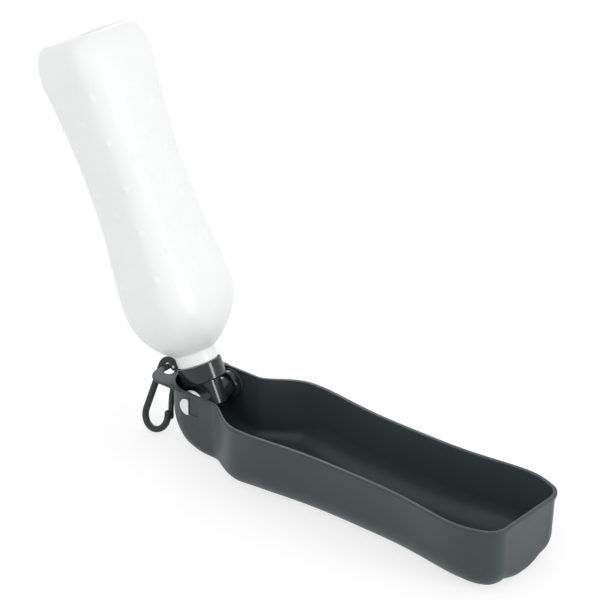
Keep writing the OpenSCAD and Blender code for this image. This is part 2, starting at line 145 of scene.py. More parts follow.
nose_arc = [(nose_c + nose_len * math.cos(a), head_hw * math.sin(a))
            for a in np.radians(np.arange(180, 91, -3))]
side_x = np.concatenate([np.linspace(nose_c, step_x, 9)[:-1], np.linspace(step_x, shoulder_x, 37)[:-1],
                         np.linspace(shoulder_x, waist_x, 33)[:-1], np.linspace(waist_x, tail_x, 31)[:-1],
                         np.linspace(tail_x, taper_x, 13)])
end_arc = [(corner_x + end_corner_r * math.cos(a), end_flat_hw + end_corner_r * math.sin(a))
           for a in np.radians(np.arange(90 - end_corner_turn - 3, -1, -3))]
end_run = [(end_x, y) for y in np.linspace(end_flat_hw, 0, 8)[1:]]
half_rim = nose_arc + [(x, rim_half_width(x)) for x in side_x] + end_arc + end_run
rim = np.array(half_rim + [(x, -y) for x, y in half_rim[-2:0:-1]])

tangent = np.roll(rim, -1, axis=0) - np.roll(rim, 1, axis=0)
tangent /= np.linalg.norm(tangent, axis=1)[:, None]
normal = np.stack([tangent[:, 1], -tangent[:, 0]], axis=1)
to_nose = np.array([nose_c, 0.0]) - rim
to_end = np.array([corner_x - spine_back, 0.0]) - rim
to_nose /= np.linalg.norm(to_nose, axis=1)[:, None]
to_end /= np.linalg.norm(to_end, axis=1)[:, None]
end_turn = np.where(rim[:, 0] > tail_x, ease((rim[:, 0] - tail_x) / (end_x - tail_x)), 0.0)[:, None]
inward = mix(normal, to_end, end_turn)
inward = np.where((rim[:, 0] < nose_c)[:, None], to_nose, inward / np.linalg.norm(inward, axis=1)[:, None])
inward /= np.maximum(0.6, (inward * normal).sum(axis=1))[:, None]

basin = ease((rim[:, 0] - step_x) / 24)
lip = mix(lip_head, lip_out, basin)

# The walls sweep into the floor by an ellipse that changes from head to sides, end and corners.
side_share = ease((rim[:, 0] - step_x - 7) / 41)
end_share = ease((rim[:, 0] - tail_x) / (end_x - tail_x))
corner_share = ease((rim[:, 0] - tail_x + 4.5) / 48.6) * ease((np.abs(rim[:, 1]) - 2.7) / 31.4)
nose_share = ease((nose_c + 15.9 - rim[:, 0]) / (nose_len + 14))


def swept(side, corner, nose):
    walls = mix(mix(head_fillet, side, side_share), end_fillet, end_share)
    return mix(mix(walls, corner, corner_share), nose, nose_share)


sweep_in, sweep_up = (swept(side_sweep[k], corner_sweep[k], nose_sweep[k]) for k in (0, 1))


def trough_ring(inset, height):
    plan = rim + inward * np.broadcast_to(inset, len(rim))[:, None]
    return np.column_stack([plan, np.broadcast_to(height, len(rim))])


def wall_inset(depth, t):
    return lip + wall_draft * basin * depth + t


def fillet_ring(a, t, z0):
    r_in = np.maximum(sweep_in - t, least_fillet)
    r_up = np.maximum(sweep_up - t, least_fillet)
    return trough_ring(wall_inset(rim_h - z0 - r_up, t) + r_in * (1 - math.cos(a)),
                       z0 + r_up * (1 - math.sin(a)))


fillet_angles = np.radians(np.linspace(90, 0, 15))
lip_edge = np.minimum(soft, lip - 0.1)
quarter = np.radians([0, 30, 60, 90])
trough_rings = [fillet_ring(a, 0, 0) for a in fillet_angles]
trough_rings += [trough_ring(wall_inset(lip_h, 0), rim_h - lip_h - soft),
                 trough_ring(wall_inset(lip_h, 0) - 0.1, rim_h - lip_h - 0.1),
                 trough_ring(mix(wall_inset(lip_h, 0), lip_edge, 0.5), rim_h - lip_h)]
trough_rings += [trough_ring(lip_edge * (1 - np.sin(a)), rim_h - lip_h + soft * (1 - math.cos(a)))
                 for a in quarter]
trough_rings += [trough_ring(soft * (1 - math.cos(a)), rim_h - soft * (1 - math.sin(a))) for a in quarter]
trough_rings += [trough_ring(wall_inset(0, wall) - soft * (1 - math.sin(a)),
                             rim_h - soft * (1 - math.cos(a))) for a in quarter]
trough_rings += [fillet_ring(a, wall, floor_t) for a in fillet_angles[::-1]]
trough = new_object("trough_moulding", np.concatenate(trough_rings) * MM,
                    skin_faces(len(trough_rings), len(rim)))

# The clip flange is a flat tongue with a slot, moulded on the nose at rim height. The bar between
# the slot and the tongue's tip carries the snap hook.
flange_t, flange_hw, flange_corner_r = 1.5, 23.0, 12.0
bar_w, slot_w, slot_hl = 4.4, 6.8, 12.0
bar_x = nose_c - nose_len - slot_w - bar_w / 2 - 0.3
tip_x = bar_x - bar_w / 2


def arc(cx, cy, r, start, stop, steps):
    return [(cx + r * math.cos(a), cy + r * math.sin(a))
            for a in np.radians(np.linspace(start, stop, steps))]


wall_rx, wall_ry = nose_len - lip_head - wall / 2, head_hw - lip_head - wall / 2
tongue = (arc(tip_x + flange_corner_r, flange_hw - flange_corner_r, flange_corner_r, 90, 180, 19)
          + arc(tip_x + flange_corner_r, flange_corner_r - flange_hw, flange_corner_r, 180, 270, 19)
          + [(nose_c - 3, -flange_hw)]
          + [(nose_c + wall_rx * math.cos(a), wall_ry * math.sin(a)) for a in np.radians(range(262, 97, -3))]
          + [(nose_c - 3, flange_hw)])
slot_x = bar_x + bar_w / 2 + slot_w / 2
slot_y = slot_hl - slot_w / 2
slot = arc(slot_x, slot_y, slot_w / 2, 0, 180, 15) + arc(slot_x, -slot_y, slot_w / 2, 180, 360, 15)


def rounded_plate(name, loops, bottom, top, edge):
    """flat plate with holes and rounded edges, from closed loops of plan points"""
    plan = bpy.data.curves.new(name, "CURVE")
    plan.dimensions = "2D"
    plan.fill_mode = "BOTH"
    plan.extrude = (top - bottom) / 2 * MM - edge * MM
    plan.bevel_depth = edge * MM
    plan.bevel_resolution = 2
    plan.offset = -edge * MM
    for loop in loops:
        line = plan.splines.new("POLY")
        line.points.add(len(loop) - 1)
        line.use_cyclic_u = True
        for point, (x, y) in zip(line.points, loop):
            point.co = (x * MM, y * MM, 0, 1)
    drawn = bpy.data.objects.new(name, plan)
    bpy.context.scene.collection.objects.link(drawn)
    depsgraph = bpy.context.evaluated_depsgraph_get()
    mesh = bpy.data.meshes.new_from_object(drawn.evaluated_get(depsgraph), depsgraph=depsgraph)
    bpy.data.objects.remove(drawn)
    mesh.transform(Matrix.Translation((0, 0, (top + bottom) / 2 * MM)))
    plate = bpy.data.objects.new(name, mesh)
    bpy.context.scene.collection.objects.link(plate)
    soften(plate)
    return plate


flange = rounded_plate("flange", [tongue, slot], rim_h - flange_t, rim_h - 0.02, 0.3)

# Each wall of the head has a keyed hole for the white pin, and beside it a shallow window.
pivot_drop = 10.6
pivot_z = rim_h - pivot_drop
spool_r, spool_flat, key_gap = 5.5, 1.7, 0.08
head_out = head_hw - lip_head


def keyed_loop(r, flat):
    a = math.degrees(math.acos(flat / r))
    return arc(0, 0, r, a, 360 - a, 61)


def prism_across(name, loop, y0, y1):
    """solid along y with its section in the x-z plane, drawn round the pivot"""
    points = [(x * MM, y * MM, (pivot_z + z) * MM) for y in (y0, y1) for x, z in loop]
    return new_object(name, points, skin_faces(2, len(loop)))


key_cut = prism_across("key_cut", keyed_loop(spool_r + key_gap, spool_flat + key_gap), -40, 40)
window_gap, window_w, window_foot, window_top, window_in = 0.6, 7.2, -3.8, 7.8, 0.4
window_x = spool_flat + window_gap
window = [(window_x, window_foot), (window_x + window_w, window_foot),
          (window_x + window_w, window_top), (window_x, window_top)]
near_window = prism_across("near_window", window, -head_out - 3, -head_out + window_in)
far_window = prism_across("far_window", window, head_out - window_in, head_out + 3)

# Round pads stand inside the head's walls round the holes. They end within the wall's thickness.
pad_r, pad_t, pad_edge = 9.8, 1.6, 0.35
head_in = head_out - wall
pads = []
for side in (-1, 1):
    rings = []
    for y, r in ((side * head_out, pad_r),
                 (side * (head_in - pad_t + pad_edge), pad_r),
                 (side * (head_in - pad_t + 0.1), pad_r - 0.1),
                 (side * (head_in - pad_t), pad_r - pad_edge)):
        rings.append([(x * MM, y * MM, (pivot_z + z) * MM) for x, z in arc(0, 0, r, 0, 357, 120)])
    pad = new_object("pad", np.concatenate(rings), skin_faces(len(rings), 120))
    within = np.concatenate([trough_ring(wall_inset(0, wall / 2), z) for z in (10.0, rim_h - 0.4)])
    cut_or_join(pad, [new_object("within", within * MM, skin_faces(2, len(rim)))], "INTERSECT")
    pads.append(pad)
cut_or_join(trough, [flange] + pads, "UNION")
cut_or_join(trough, [key_cut, near_window, far_window], "DIFFERENCE")


# Moulded plastic: a fine sparked grain from the tool, slow drifts in colour and gloss, and faint
# rubbed marks. The group is shared by all the plastic pieces, each with its own values.
def plastic_group():
    group = bpy.data.node_groups.new("moulded grain", "ShaderNodeTree")
    sockets = [("Grain Scale", "INPUT", 2600.0), ("Cloud Scale", "INPUT", 28.0),
               ("Rub Scale", "INPUT", 90.0), ("Grain", "OUTPUT", None),
               ("Cloud", "OUTPUT", None), ("Rub", "OUTPUT", None)]
    for name, way, value in sockets:
        socket = group.interface.new_socket(name=name, in_out=way, socket_type="NodeSocketFloat")
        if value is not None:
            socket.default_value = value
    nodes, links = group.nodes, group.links
    inside, outside = nodes.new("NodeGroupInput"), nodes.new("NodeGroupOutput")
    place = nodes.new("ShaderNodeTexCoord")
    for output, scale, detail, stretch in (("Grain", "Grain Scale", 3.0, (1, 1, 1)),
                                           ("Cloud", "Cloud Scale", 4.0, (1, 1, 1)),
                                           ("Rub", "Rub Scale", 6.0, (0.25, 1.6, 1.0))):
        turned = nodes.new("ShaderNodeMapping")
        turned.inputs["Scale"].default_value = stretch
        noise = nodes.new("ShaderNodeTexNoise")
        noise.inputs["Detail"].default_value = detail
        links.new(place.outputs["Object"], turned.inputs["Vector"])
        links.new(turned.outputs["Vector"], noise.inputs["Vector"])
        links.new(inside.outputs[scale], noise.inputs["Scale"])
        links.new(noise.outputs["Fac"], outside.inputs[output])
    return group


moulded_grain = plastic_group()


def ramp_between(nodes, links, source, low, high, out_low, out_high):
    step = nodes.new("ShaderNodeMapRange")
    step.inputs["From Min"].default_value = low
    step.inputs["From Max"].default_value = high
    step.inputs["To Min"].default_value = out_low
    step.inputs["To Max"].default_value = out_high
    links.new(source, step.inputs["Value"])
    return step.outputs["Result"]


def plastic(name, colour, light_colour, roughness, spread, grain_scale, grain_depth, fixed=()):
    material = bpy.data.materials.new(name)
    material.use_nodes = True
    nodes, links = material.node_tree.nodes, material.node_tree.links
    shader = nodes["Principled BSDF"]
    grain = nodes.new("ShaderNodeGroup")
    grain.node_tree = moulded_grain
    grain.inputs["Grain Scale"].default_value = grain_scale
    tint = nodes.new("ShaderNodeMix")
    tint.data_type = "RGBA"
    tint.inputs["A"].default_value = (*colour, 1)
    tint.inputs["B"].default_value = (*light_colour, 1)
    rubbed = ramp_between(nodes, links, grain.outputs["Rub"], 0.45, 0.8, 0.0, 0.6)
    clouded = ramp_between(nodes, links, grain.outputs["Cloud"], 0.3, 0.7, 0.0, 0.5)
    both = nodes.new("ShaderNodeMath")
    both.operation = "MAXIMUM"
    links.new(rubbed, both.inputs[0])
    links.new(clouded, both.inputs[1])
    links.new(both.outputs[0], tint.inputs["Factor"])
    links.new(tint.outputs["Result"], shader.inputs["Base Color"])
    links.new(ramp_between(nodes, links, grain.outputs["Cloud"], 0.3, 0.7, roughness - spread,
                           roughness + spread), shader.inputs["Roughness"])
    bump = nodes.new("ShaderNodeBump")
    bump.inputs["Strength"].default_value = 1.0
    bump.inputs["Distance"].default_value = grain_depth
    links.new(grain.outputs["Grain"], bump.inputs["Height"])
    links.new(bump.outputs["Normal"], shader.inputs["Normal"])
    for socket, value in fixed:
        shader.inputs[socket].default_value = value
    return material


slate = plastic("slate polypropylene", (0.034, 0.047, 0.052), (0.043, 0.057, 0.062), 0.42, 0.05,
                2200.0, 0.00003, fixed=(("Specular IOR Level", 0.34),))


def dress(obj, material, body, slot, *nodes):
    """material and body of a finished piece, and the CAD nodes that it stands for, which it hides; the slot
    argument is not used
    """
    obj.data.materials.clear()
    obj.data.materials.append(material)
    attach(obj, body)
    if nodes:
        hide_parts(*nodes)
    return obj


dress(trough, slate, "trough", "trough", "bowl")

# ---------------------------------------------------------------- gate and ejector marks
# The moulding shows where the plastic came in, as a small raised ring on the floor's middle line, and
# has shallow rings where the ejector pins pushed it off the tool.
gate_x, gate_ring_r, gate_ring_h = 131.0, 2.6, 0.14


def ring_marks(name, centres, r, width, height, z, steps=40):
    points, faces = [], []
    profile = [(r - width, 0.0), (r - width * 0.6, height), (r + width * 0.6, height), (r + width, 0.0)]
    for cx, cy in centres:
        start = len(points)
        for pr, pz in profile:
            points += [((cx + pr * math.cos(a)) * MM, (cy + pr * math.sin(a)) * MM, (z + pz) * MM)
                       for a in np.linspace(0, 2 * math.pi, steps, endpoint=False)]
        rows = len(profile)
        for j in range(rows):
            for i in range(steps):
                k, n = (i + 1) % steps, (j + 1) % rows
                faces.append((start + j * steps + i, start + j * steps + k,
                              start + n * steps + k, start + n * steps + i))
    return new_object(name, points, faces, 50)


ejector_r, mark_foot = 3.0, floor_t - 0.02
ejector_places = [(x, y) for x in (72.0, 200.0) for y in (-16.0, 16.0)] + [(30.0, 0.0)]
marks = ring_marks("ejector_marks", ejector_places, ejector_r, 0.16, 0.06, mark_foot)
dress(marks, slate, "trough", "trough")
gate_mark = ring_marks("gate_mark", [(gate_x, 0.0)], gate_ring_r, 0.3, gate_ring_h, mark_foot)
dress(gate_mark, slate, "trough", "trough")

# ---------------------------------------------------------------- bottle
# A blow-moulded squeeze bottle in milky polyethylene, drawn along its own axis from the pivot. Rings
# run from the dished base up the waisted body and the dome to the mouth, and back down inside.
lip_wall = lip_out + wall
waist_gap, bulge_gap, end_gap, stow_gap, stow_rise = 2.0, 0.9, 6.2, 0.8, 2.0
shoulder_s, waist_s, tail_s = shoulder_x + 8.5, waist_x - 3.5, tail_x - 3.5
dome_len, waist_thin, body_off, bottle_wall = 41.6, 3.8, 3.0, 1.2
base_corner_len, base_corner_in, section_power = 20.0, 8.0, 3.2
bulge_w = shoulder_hw - lip_wall - waist_gap - bulge_gap
waist_w = waist_hw - lip_wall - waist_gap
tail_w = tail_hw - lip_wall - waist_gap - bulge_gap
base_s = end_x - lip_wall - end_gap
bulge_t = pivot_z - floor_t + shoulder_s * math.sin(math.radians(stow_rise)) - body_off - stow_gap
waist_t = bulge_t - waist_thin
dome_s = shoulder_s - dome_len + 2.6
corner_s = base_s - base_corner_len

neck_r, neck_wall, thread_h, thread_gap, cap_wall, thread_pitch = 12.2, 1.6, 1.0, 0.2, 1.0, 3.0
cap_s, cap_plate, cap_len, spout_head_t, gasket_t = 10.2, 1.9, 11.4, 1.4, 1.2
cap_bore = neck_r + thread_h + thread_gap
cap_r = cap_bore + cap_wall
cap_end = cap_s + cap_len
spout_flange_s = cap_s + cap_plate + 0.1
gasket_s = spout_flange_s + spout_head_t + 0.05
mouth_s = gasket_s + gasket_t + 0.1
neck_out = neck_r + thread_h

nose_in = nose_len - nose_c - lip_head - wall
nose_clear = 0.15
lean = math.acos((cap_r + nose_clear) / math.hypot(nose_in, pivot_drop)) - math.atan(pivot_drop / nose_in)


def leaning(points):
    """points drawn along the bottle's axis, turned to where the bottle leans at rest"""
    p = np.asarray(points, float)
    c, s = math.cos(lean), math.sin(lean)
    return np.column_stack([p[:, 0] * c - p[:, 2] * s, p[:, 1], pivot_z + p[:, 0] * s + p[:, 2] * c])


def body_half_width(s):
    if s < shoulder_s:
        return bulge_w * math.sqrt(max(0, 1 - ((shoulder_s - s) / dome_len) ** 2))
    if s < waist_s:
        return mix(bulge_w, waist_w, swing((s - shoulder_s) / (waist_s - shoulder_s), 1.3))
    if s < tail_s:
        return mix(waist_w, tail_w, ((s - waist_s) / (tail_s - waist_s)) ** 2)
    return tail_w


def body_half_depth(s):
    if s < waist_s:
        return mix(bulge_t, waist_t, swing((s - shoulder_s) / (waist_s - shoulder_s), 1.3))
    return mix(waist_t, bulge_t, min(1, (s - waist_s) / (tail_s - waist_s)) ** 2)


def base_turn(s):
    if s < corner_s:
        return 0.0
    return base_corner_in * (1 - math.sqrt(max(0, 1 - ((s - corner_s) / base_corner_len) ** 2)))


round_turn = np.linspace(0, 2 * math.pi, 232, endpoint=False)


def body_ring(s, t, z):
    u = ease((s - dome_s) / (shoulder_s - dome_s))
    w = body_half_width(s)
    b = w - base_turn(s) - t
    depth = body_half_depth(s) / (bulge_w if s < shoulder_s else w)
    c = mix(w, w * depth, u) - base_turn(s) - t
    e = 2 / mix(2, section_power, u)
    cos, sin = np.cos(round_turn), np.sin(round_turn)
    return np.column_stack([body_off * u + c * np.sign(cos) * np.abs(cos) ** e,
                            b * np.sign(sin) * np.abs(sin) ** e, np.full(len(round_turn), z)])


def round_ring(r, z):
    return np.column_stack([r * np.cos(round_turn), r * np.sin(round_turn), np.full(len(round_turn), z)])


foot_rim, foot_up, dome_start_s, throat_end_s = 2.2, 1.6, 30.4, 30.6
neck_flare = [(13.5, 29.9), (13.28, 29.4), (neck_out, 28.8)]
body_heights = np.concatenate([np.linspace(dome_start_s, shoulder_s, 46)[:-1],
                               np.linspace(shoulder_s, corner_s, 124)[:-1],
                               corner_s + base_corner_len * np.sin(np.radians(np.linspace(0, 90, 22)))])
inner_end = base_s - foot_up - bottle_wall
bottle_rings = [body_ring(base_s, foot_rim + 14, base_s - foot_up - 0.5),
                body_ring(base_s, foot_rim + foot_up + 1.2, base_s - foot_up),
                body_ring(base_s, foot_rim + foot_up, base_s - foot_up + 0.3),
                body_ring(base_s, foot_rim + 0.9, base_s - 0.4), body_ring(base_s, foot_rim, base_s)]
bottle_rings += [body_ring(s, 0, s) for s in body_heights[::-1]]
bottle_rings += [round_ring(r, s) for r, s in neck_flare]
bottle_rings += [round_ring(neck_out, cap_end + 0.7), round_ring(neck_out - 0.3, cap_end + 0.4),
                 round_ring(neck_r, cap_end + 0.38), round_ring(neck_r, mouth_s + 0.3),
                 round_ring(neck_r - 0.3, mouth_s), round_ring(neck_r - neck_wall + 0.3, mouth_s),
                 round_ring(neck_r - neck_wall, mouth_s + 0.3),
                 round_ring(neck_r - neck_wall, throat_end_s)]
bottle_rings += [body_ring(s, bottle_wall, s) for s in body_heights[2::3] if s < inner_end - 1]
bottle_rings += [body_ring(inner_end, bottle_wall + 1, inner_end)]
bottle = new_object("squeeze_bottle", leaning(np.concatenate(bottle_rings)) * MM,
                    skin_faces(len(bottle_rings), len(round_turn)), 40)

# Rows of round grip nubs stand on the body, staggered from column to column. Their places are found
# by walking round the body's skin, and the nodes lift the skin round each place.
nub_columns, nub_rows, nub_shift, nub_pitch, nub_first_s = 14, (5, 4), -3.0, 29.3, 83.5
nub_r, nub_h = 3.3, 0.75


def place_round_body(s, walk):
    """point on the body at height s, walked round the skin from the middle of the front"""
    ring = body_ring(s, 0, s)
    ring = np.vstack([ring, ring[:1]])
    run = np.concatenate([[0], np.cumsum(np.linalg.norm(np.diff(ring, axis=0), axis=1))])
    walk = walk % run[-1]
    return [np.interp(walk, run, ring[:, k]) for k in range(3)]


def skin_length(s):
    ring = body_ring(s, 0, s)
    return np.linalg.norm(ring - np.roll(ring, -1, axis=0), axis=1).sum()


nub_places = []
for column in range(nub_columns):
    first = nub_first_s if column % 2 == 0 else nub_first_s + nub_pitch / 2
    for row in range(nub_rows[column % 2]):
        s = first + row * nub_pitch
        nub_places.append(place_round_body(s, column * skin_length(s) / nub_columns + nub_shift))
nub_mesh = bpy.data.meshes.new("nub_places")
nub_mesh.from_pydata([tuple(q) for q in leaning(nub_places) * MM], [], [])
nub_object = bpy.data.objects.new("nub_places", nub_mesh)
bpy.context.scene.collection.objects.link(nub_object)


def nub_tree():
    tree = bpy.data.node_groups.new("grip nubs", "GeometryNodeTree")
    for name, way, kind in (("Geometry", "INPUT", "Geometry"), ("Places", "INPUT", "Object"),
                            ("Nub Radius", "INPUT", "Float"), ("Nub Height", "INPUT", "Float"),
                            ("Plastic", "INPUT", "Material"), ("Geometry", "OUTPUT", "Geometry")):
        tree.interface.new_socket(name=name, in_out=way, socket_type="NodeSocket" + kind)
    nodes, links = tree.nodes, tree.links
    inside, outside = nodes.new("NodeGroupInput"), nodes.new("NodeGroupOutput")
    places = nodes.new("GeometryNodeObjectInfo")
    near = nodes.new("GeometryNodeProximity")
    near.target_element = "POINTS"
    share = nodes.new("ShaderNodeMapRange")
    share.interpolation_type = "SMOOTHERSTEP"
    share.inputs["To Min"].default_value = 1.0
    share.inputs["To Max"].default_value = 0.0
    height = nodes.new("ShaderNodeMath")
    height.operation = "MULTIPLY"
    facing = nodes.new("GeometryNodeInputNormal")
    lift = nodes.new("ShaderNodeVectorMath")
    lift.operation = "SCALE"
    move = nodes.new("GeometryNodeSetPosition")
    plain_mesh = nodes.new("GeometryNodeRealizeInstances")
    coat = nodes.new("GeometryNodeSetMaterial")
    links.new(inside.outputs["Places"], places.inputs["Object"])
    links.new(places.outputs["Geometry"], near.inputs[0])
    links.new(near.outputs["Distance"], share.inputs["Value"])
    links.new(inside.outputs["Nub Radius"], share.inputs["From Max"])
    links.new(share.outputs["Result"], height.inputs[0])
    links.new(inside.outputs["Nub Height"], height.inputs[1])
    links.new(facing.outputs["Normal"], lift.inputs[0])
    links.new(height.outputs[0], lift.inputs["Scale"])
    links.new(inside.outputs["Geometry"], move.inputs["Geometry"])
    links.new(lift.outputs["Vector"], move.inputs["Offset"])
    links.new(move.outputs["Geometry"], plain_mesh.inputs["Geometry"])
    links.new(plain_mesh.outputs["Geometry"], coat.inputs["Geometry"])
    links.new(inside.outputs["Plastic"], coat.inputs["Material"])
    links.new(coat.outputs["Geometry"], outside.inputs["Geometry"])
    return tree


def set_input(modifier, name, value):
    for item in modifier.node_group.interface.items_tree:
        if item.item_type == "SOCKET" and item.in_out == "INPUT" and item.name == name:
            modifier[item.identifier] = value


milky = plastic("milky polyethylene", (0.86, 0.875, 0.87), (0.90, 0.91, 0.905), 0.36, 0.04, 900.0, 0.00004,
                fixed=(("Subsurface Weight", 0.35), ("Subsurface Radius", (1.0, 1.0, 1.0)),
                       ("Subsurface Scale", 0.002)))
nubs = bottle.modifiers.new("grip nubs", "NODES")
nubs.node_group = nub_tree()
set_input(nubs, "Places", nub_object)
set_input(nubs, "Nub Radius", nub_r * MM)
set_input(nubs, "Nub Height", nub_h * MM)
set_input(nubs, "Plastic", milky)
baked(bottle, 40)
bpy.data.objects.remove(nub_object)
dress(bottle, milky, "bottle", "bottle", "bottle")


# The neck's thread is a rounded ridge that climbs round the neck in a right-hand turn.
def thread_ridge(name, root_r, crest_r, start_s, stop_s, material, body, slot):
    turns = (stop_s - start_s) / thread_pitch
    steps = int(turns * 72)
    points, size = [], 5
    for i in range(steps + 1):
        f = i / steps
        a = f * turns * 2 * math.pi
        grow = min(1.0, 8 * f, 8 * (1 - f))
        crest = mix(root_r, crest_r, max(grow, 0.02))
        s = start_s + f * (stop_s - start_s)
        for r, ds in ((root_r, -0.85), (crest, -0.35), (crest, 0.0), (crest, 0.35), (root_r, 0.85)):
            points.append((r * math.cos(a), r * math.sin(a), s + ds))
    ridge = new_object(name, leaning(points) * MM, skin_faces(steps + 1, size), 50)
    return dress(ridge, material, body, slot)


thread_start_s = mouth_s + 1.2
thread_ridge("neck_thread", neck_r - 0.05, neck_out - 0.05, thread_start_s, cap_end - 1.4,
             milky, "bottle", "bottle")

# ---------------------------------------------------------------- screw cap
# A ring cap in gloss black-grey plastic. It is turned on its spout and screws on the bottle's neck.
gloss = plastic("gloss plastic", (0.015, 0.020, 0.023), (0.021, 0.026, 0.029), 0.17, 0.03, 700.0, 0.000004)


def turned_ring(name, profile, place, steps=192):
    """a closed profile of [radius, height] points turned round an axis"""
    points = []
    for r, z in profile:
        points += [(r * math.cos(a), r * math.sin(a), z) for a in np.linspace(0, 2 * math.pi, steps, False)]
    rows = len(profile)
    faces = []
    for j in range(rows):
        n = (j + 1) % rows
        for i in range(steps):
            k = (i + 1) % steps
            faces.append((j * steps + i, j * steps + k, n * steps + k, n * steps + i))
    return new_object(name, place(points) * MM, faces)


def rounded(corners, radii, steps=4):
    """the same closed outline with each corner rounded by its own radius"""
    out = []
    n = len(corners)
    for i, (x, y) in enumerate(corners):
        ri = radii[i]
        if ri == 0:
            out.append((x, y))
            continue
        p, q, b = (np.array(corners[(i + d) % n]) for d in (-1, 1, 0))
        to_p, to_q = (p - b) / np.linalg.norm(p - b), (q - b) / np.linalg.norm(q - b)
        for k in range(steps + 1):
            t = k / steps
            out.append(tuple(b + to_p * ri * (1 - t) ** 2 + to_q * ri * t ** 2))
    return out


tube_r, run_gap, channel_r = 4.35, 0.05, 2.4
hub = tube_r + run_gap
cap = turned_ring("ring_cap", rounded([(hub, cap_s), (cap_r, cap_s), (cap_r, cap_end), (cap_bore, cap_end),
                                       (cap_bore, cap_s + cap_plate), (hub, cap_s + cap_plate)],
                                      [0.2, 0.9, 0.5, 0.2, 0, 0.2]), leaning)
dress(cap, gloss, "cap", "cap", "screw_cap")
thread_ridge("cap_thread", cap_bore + 0.05, neck_r + 0.25, thread_start_s + thread_pitch / 2,
             cap_end - 1.6, gloss, "cap", "cap")

# ---------------------------------------------------------------- barrel and spout tube
# The barrel turns on the white pin, and a drum under the cap stands round its middle. The drum takes
# the spout tube, whose wide head sits inside the cap under the gasket, so the bottle hangs on the pin.
barrel_bore, barrel_wall = spool_r + run_gap, 1.65
barrel_r = barrel_bore + barrel_wall
side_gap, collar_r, far_collar_r, collar_w = 0.2, 8.4, 9.2, 4.2
collar_y = head_in - pad_t - side_gap
barrel_y = collar_y - collar_w - side_gap
drum_r, drum_foot, drum_edge, drum_end = 9.6, 6.5, 0.9, cap_s - 0.3
tube_s = 6.4


def across(points):
    """points drawn round z, laid along y at the pivot"""
    p = np.asarray(points, float)
    return np.column_stack([p[:, 0], p[:, 2], pivot_z - p[:, 1]])


def solid_of_turn(name, profile, place, steps=160):
    points = []
    for r, z in profile:
        points += [(r * math.cos(a), r * math.sin(a), z) for a in np.linspace(0, 2 * math.pi, steps, False)]
    return new_object(name, place(points) * MM, skin_faces(len(profile), steps))


barrel = solid_of_turn("valve_barrel_skin", [
    (barrel_r - 0.5, -barrel_y), (barrel_r - 0.15, -barrel_y + 0.15), (barrel_r, -barrel_y + 0.5),
    (barrel_r, barrel_y - 0.5), (barrel_r - 0.15, barrel_y - 0.15), (barrel_r - 0.5, barrel_y)], across)
foot_turn = [(drum_r - drum_edge * (1 - math.sin(a)), -drum_foot + drum_edge * (1 - math.cos(a)))
             for a in np.radians(range(0, 91, 15))]
drum = solid_of_turn("drum", foot_turn + [(drum_r, drum_end - 0.2), (drum_r - 0.2, drum_end)], leaning)
bore = solid_of_turn("bore", [(barrel_bore, -40), (barrel_bore, 40)], across)
socket = solid_of_turn("socket", [(tube_r + run_gap, tube_s - run_gap), (tube_r + run_gap, 40)], leaning)
channel = solid_of_turn("channel", [(channel_r, -30), (channel_r, 40)], leaning)
cut_or_join(barrel, [drum], "UNION")
cut_or_join(barrel, [bore, socket, channel], "DIFFERENCE")
dress(barrel, gloss, "swivel", "cap", "valve_barrel")

spout = turned_ring("spout_tube_skin", rounded(
    [(channel_r, tube_s), (tube_r, tube_s), (tube_r, spout_flange_s), (cap_bore - side_gap, spout_flange_s),
     (cap_bore - side_gap, spout_flange_s + spout_head_t), (channel_r, spout_flange_s + spout_head_t)],
    [0.3, 0.2, 0, 0.3, 0.3, 0.5]), leaning, 96)
dress(spout, gloss, "swivel", "cap", "spout_tube")

# ---------------------------------------------------------------- white pin and its collars
# The pin is white acetal with a collar of its own and keyed ends that snap into the head's walls.
# Two black rings in its grooves seal the water port.
white = plastic("white acetal", (0.80, 0.815, 0.82), (0.85, 0.86, 0.86), 0.28, 0.04, 1500.0, 0.00001,
                fixed=(("Subsurface Weight", 0.15), ("Subsurface Radius", (1.0, 1.0, 1.0)),
                       ("Subsurface Scale", 0.001)))
ring_r, seal_y, collar_edge = 0.56, 8.5, 0.3
groove_w, groove_r = 3 * ring_r, spool_r - 2 * ring_r - 0.06
pin = solid_of_turn("pin_skin", [
    (spool_r, -collar_y), (collar_r - collar_edge, -collar_y), (collar_r, -collar_y + collar_edge),
    (collar_r, -collar_y + collar_w - collar_edge), (collar_r - collar_edge, -collar_y + collar_w),
    (spool_r, -collar_y + collar_w), (spool_r, -seal_y - groove_w / 2), (groove_r, -seal_y - groove_w / 2),
    (groove_r, -seal_y + groove_w / 2), (spool_r, -seal_y + groove_w / 2), (spool_r, seal_y - groove_w / 2),
    (groove_r, seal_y - groove_w / 2), (groove_r, seal_y + groove_w / 2), (spool_r, seal_y + groove_w / 2),
    (spool_r, collar_y)], across)
port = solid_of_turn("port", [(channel_r, -30), (channel_r, 30)], leaning)
cut_or_join(pin, [port], "DIFFERENCE")


def keyed_end(name, inner_y, outer_y, edge=0.35):
    """keyed end of the pin, with a small rounded edge on its outer face"""
    sign = 1 if outer_y > 0 else -1
    rings = []
    for y, inset in ((inner_y, 0.0), (outer_y - sign * edge, 0.0),
                     (outer_y - sign * edge * 0.3, edge * 0.3), (outer_y, edge)):
        loop = keyed_loop(spool_r - inset, spool_flat - inset)
        rings.append([(x * MM, y * MM, (pivot_z + z) * MM) for x, z in loop])
    return new_object(name, np.concatenate(rings), skin_faces(len(rings), len(rings[0])))


near_key = keyed_end("near_key", -collar_y + 0.5, -head_out)
far_key = keyed_end("far_key", collar_y - 0.5, head_out)
cut_or_join(pin, [near_key, far_key], "UNION")
dress(pin, white, "trough", "white_pin", "valve_spool")

